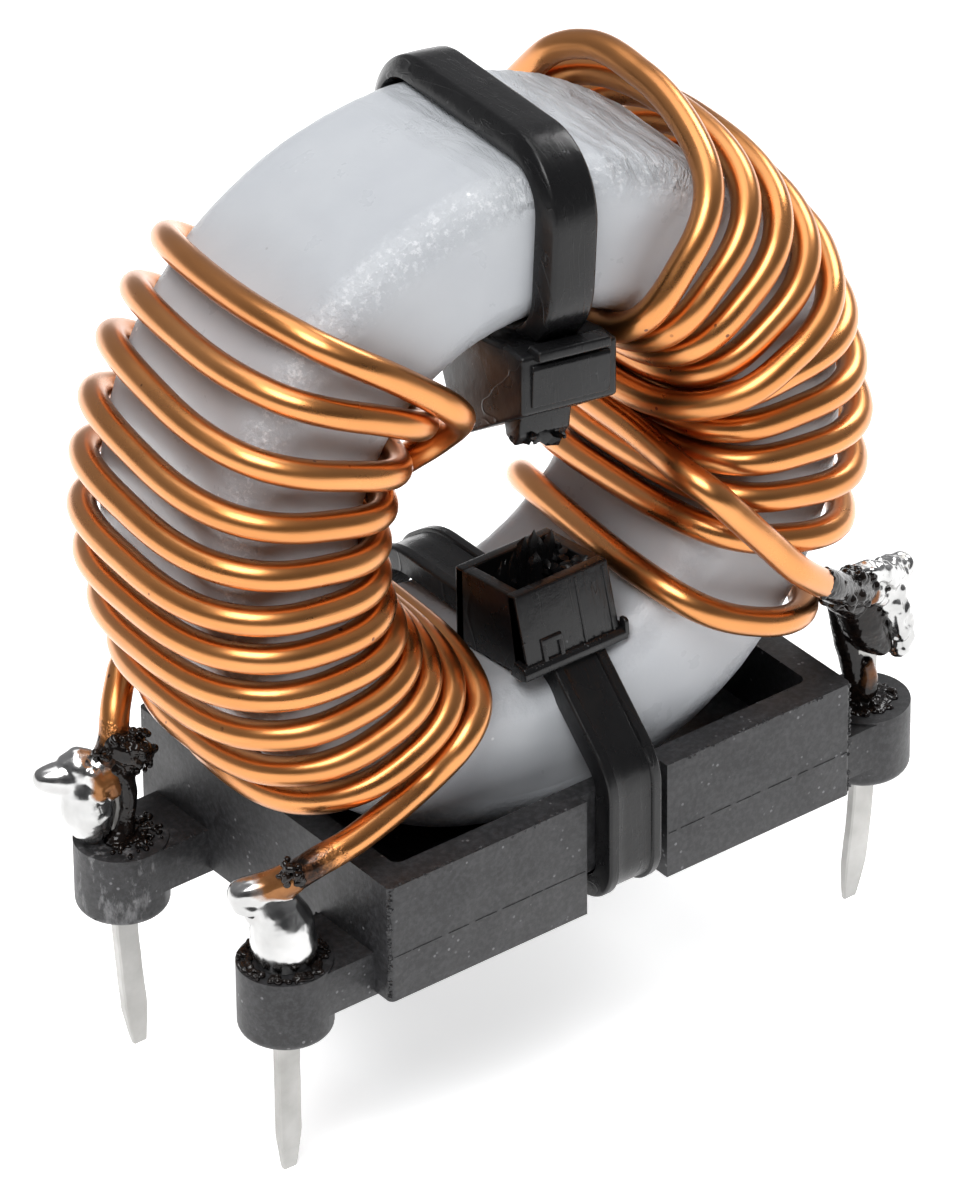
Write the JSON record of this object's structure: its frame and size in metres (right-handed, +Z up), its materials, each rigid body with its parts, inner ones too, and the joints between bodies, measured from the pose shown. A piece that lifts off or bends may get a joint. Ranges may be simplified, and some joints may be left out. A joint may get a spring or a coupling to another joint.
{
  "type": "common mode choke",
  "caption": "Vertical common mode choke: coated ferrite ring with two separate copper windings, tied to a moulded black base with flat solder pins for a circuit board.",
  "frame": {"origin": "in the seating plane, the undersides of the four corner bosses, at the middle of the pin pattern", "axes": "+Z up, away from the circuit board; +X along the base; -Y is the side with the two tie heads"},
  "size_m": [0.0344, 0.019, 0.0403],
  "materials": {
    "ring_coating": "satin grey epoxy coat",
    "enamelled_copper": "glossy clear enamel over bright copper",
    "base_plastic": "matte black moulding",
    "tie_nylon": "semi-gloss black nylon",
    "tinned_pin": "dull tin plate",
    "solder": "bright solder with flux residue"
  },
  "bodies": {
    "root": {"toroid_core": "ring_coating", "winding_left": "enamelled_copper", "winding_right": "enamelled_copper", "mounting_base": "base_plastic", "cable_tie_top": "tie_nylon", "cable_tie_bottom": "tie_nylon", "pin_front_left": "tinned_pin", "solder_front_left": "solder", "pin_back_left": "tinned_pin", "solder_back_left": "solder", "pin_front_right": "tinned_pin", "solder_front_right": "solder", "pin_back_right": "tinned_pin", "solder_back_right": "solder"}
  },
  "joints": []
}
